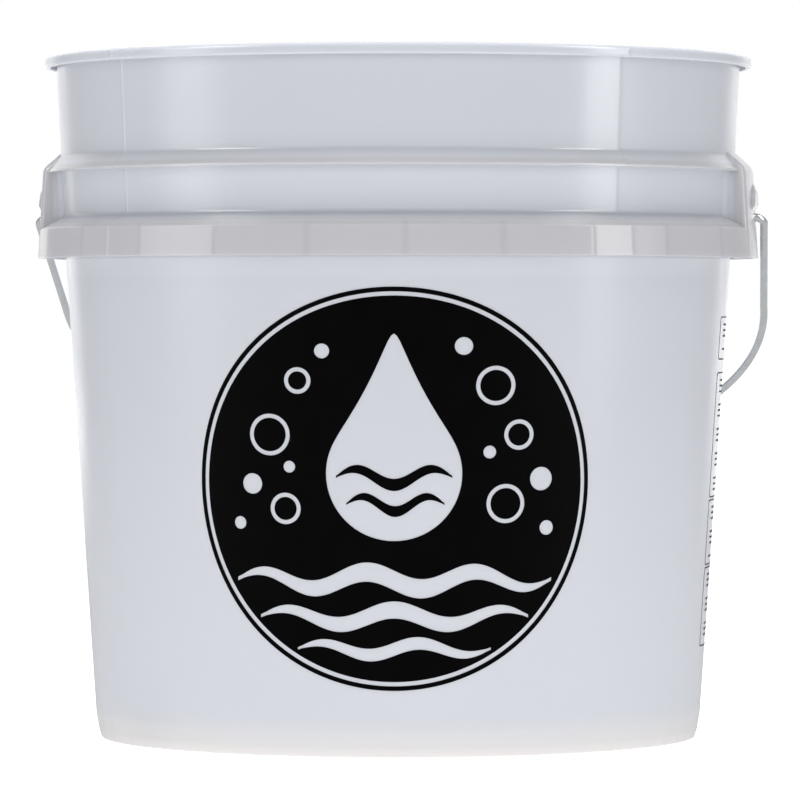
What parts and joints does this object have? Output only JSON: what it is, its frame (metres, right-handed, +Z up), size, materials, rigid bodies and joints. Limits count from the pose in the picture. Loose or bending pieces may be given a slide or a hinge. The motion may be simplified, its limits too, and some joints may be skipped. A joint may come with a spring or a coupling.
{
  "type": "wash bucket",
  "caption": "Round tapered plastic wash bucket with a lid rim, a stiffening ring and skirt, two hollow ears, a swinging wire bail and a turning hand grip.",
  "frame": {"origin": "on the pail's axis at floor level, under the foot ring", "axes": "+Z up, +X along the bail's pivot axis through one ear, -Y towards the front, where the round print is"},
  "size_m": [0.316, 0.3119, 0.2898],
  "materials": {
    "pail_plastic": "natural translucent polyethylene, satin, with mould parting lines",
    "black_ink": "black screen ink, satin, with pale pinholes",
    "galvanised_wire": "bright drawn wire, zinc plated",
    "grip_plastic": "moulded natural polyethylene, satin"
  },
  "bodies": {
    "bucket": {"bucket_body": "pail_plastic", "front_print": "black_ink", "side_print": "black_ink"},
    "bail": {"bail_wire": "galvanised_wire"},
    "grip": {"grip": "grip_plastic"}
  },
  "joints": [
    {"name": "bail_swing", "type": "hinge", "parent": "bucket", "child": "bail", "pos_m": [0, 0, 0.2218], "axis": [1, 0, 0], "range_deg": [0, 248.3]},
    {"name": "grip_roll", "type": "hinge", "parent": "bail", "child": "grip", "pos_m": [0, 0.14754, 0.12061], "axis": [1, 0, 0], "continuous": true}
  ]
}
